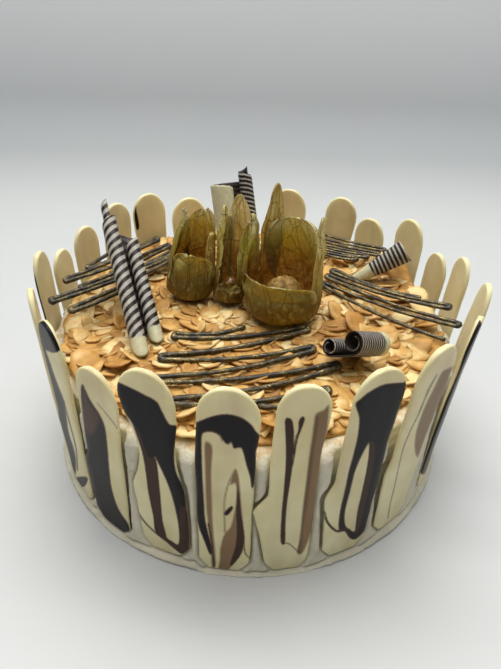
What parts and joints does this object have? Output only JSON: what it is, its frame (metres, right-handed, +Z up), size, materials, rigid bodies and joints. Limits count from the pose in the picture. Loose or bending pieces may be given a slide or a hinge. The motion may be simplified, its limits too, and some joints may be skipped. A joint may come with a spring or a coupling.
{
  "type": "almond cream cake",
  "caption": "round cream-coated cake walled with upright marbled chocolate tongues, topped with flaked almonds, piped zigzags, rolled chocolate and dried physalis husks",
  "frame": {"origin": "middle of the flat underside", "axes": "+Z up, -Y towards the front of the cake as shown, +X to its right"},
  "size_m": [0.2492, 0.2449, 0.1598],
  "materials": {
    "cream": "smooth whipped cream coating, ivory, faintly pitted",
    "almond": "toasted almond flakes, pale gold to orange brown with brown rims",
    "marbled_chocolate": "satin ivory white chocolate marbled with near-black and milk-brown chocolate",
    "gilded_chocolate": "dark chocolate lines brushed with gold dust",
    "striped_chocolate": "satin dark and ivory striped chocolate sheet",
    "dry_husk": "papery dried calyx, olive to tan with darker veins",
    "fruit": "shiny orange berry"
  },
  "bodies": {
    "root": {"cake_body": "cream", "almond_topping": "almond", "tongue_01": "marbled_chocolate", "tongue_02": "marbled_chocolate", "tongue_03": "marbled_chocolate", "tongue_04": "marbled_chocolate", "tongue_05": "marbled_chocolate", "tongue_06": "marbled_chocolate", "tongue_07": "marbled_chocolate", "tongue_08": "marbled_chocolate", "tongue_09": "marbled_chocolate", "tongue_10": "marbled_chocolate", "tongue_11": "marbled_chocolate", "tongue_12": "marbled_chocolate", "tongue_13": "marbled_chocolate", "tongue_14": "marbled_chocolate", "tongue_15": "marbled_chocolate", "tongue_16": "marbled_chocolate", "tongue_17": "marbled_chocolate", "tongue_18": "marbled_chocolate", "tongue_19": "marbled_chocolate", "tongue_20": "marbled_chocolate", "tongue_21": "marbled_chocolate", "tongue_22": "marbled_chocolate", "tongue_23": "marbled_chocolate", "zigzag_front": "gilded_chocolate", "zigzag_left": "gilded_chocolate", "zigzag_right": "gilded_chocolate", "zigzag_rear": "gilded_chocolate", "roll_left": "striped_chocolate", "roll_front": "striped_chocolate", "roll_right": "striped_chocolate", "roll_rear": "striped_chocolate", "husk_left": "dry_husk", "husk_middle": "dry_husk", "husk_right": "dry_husk", "berry_left": "fruit", "berry_middle": "fruit", "berry_right": "fruit"}
  },
  "joints": []
}
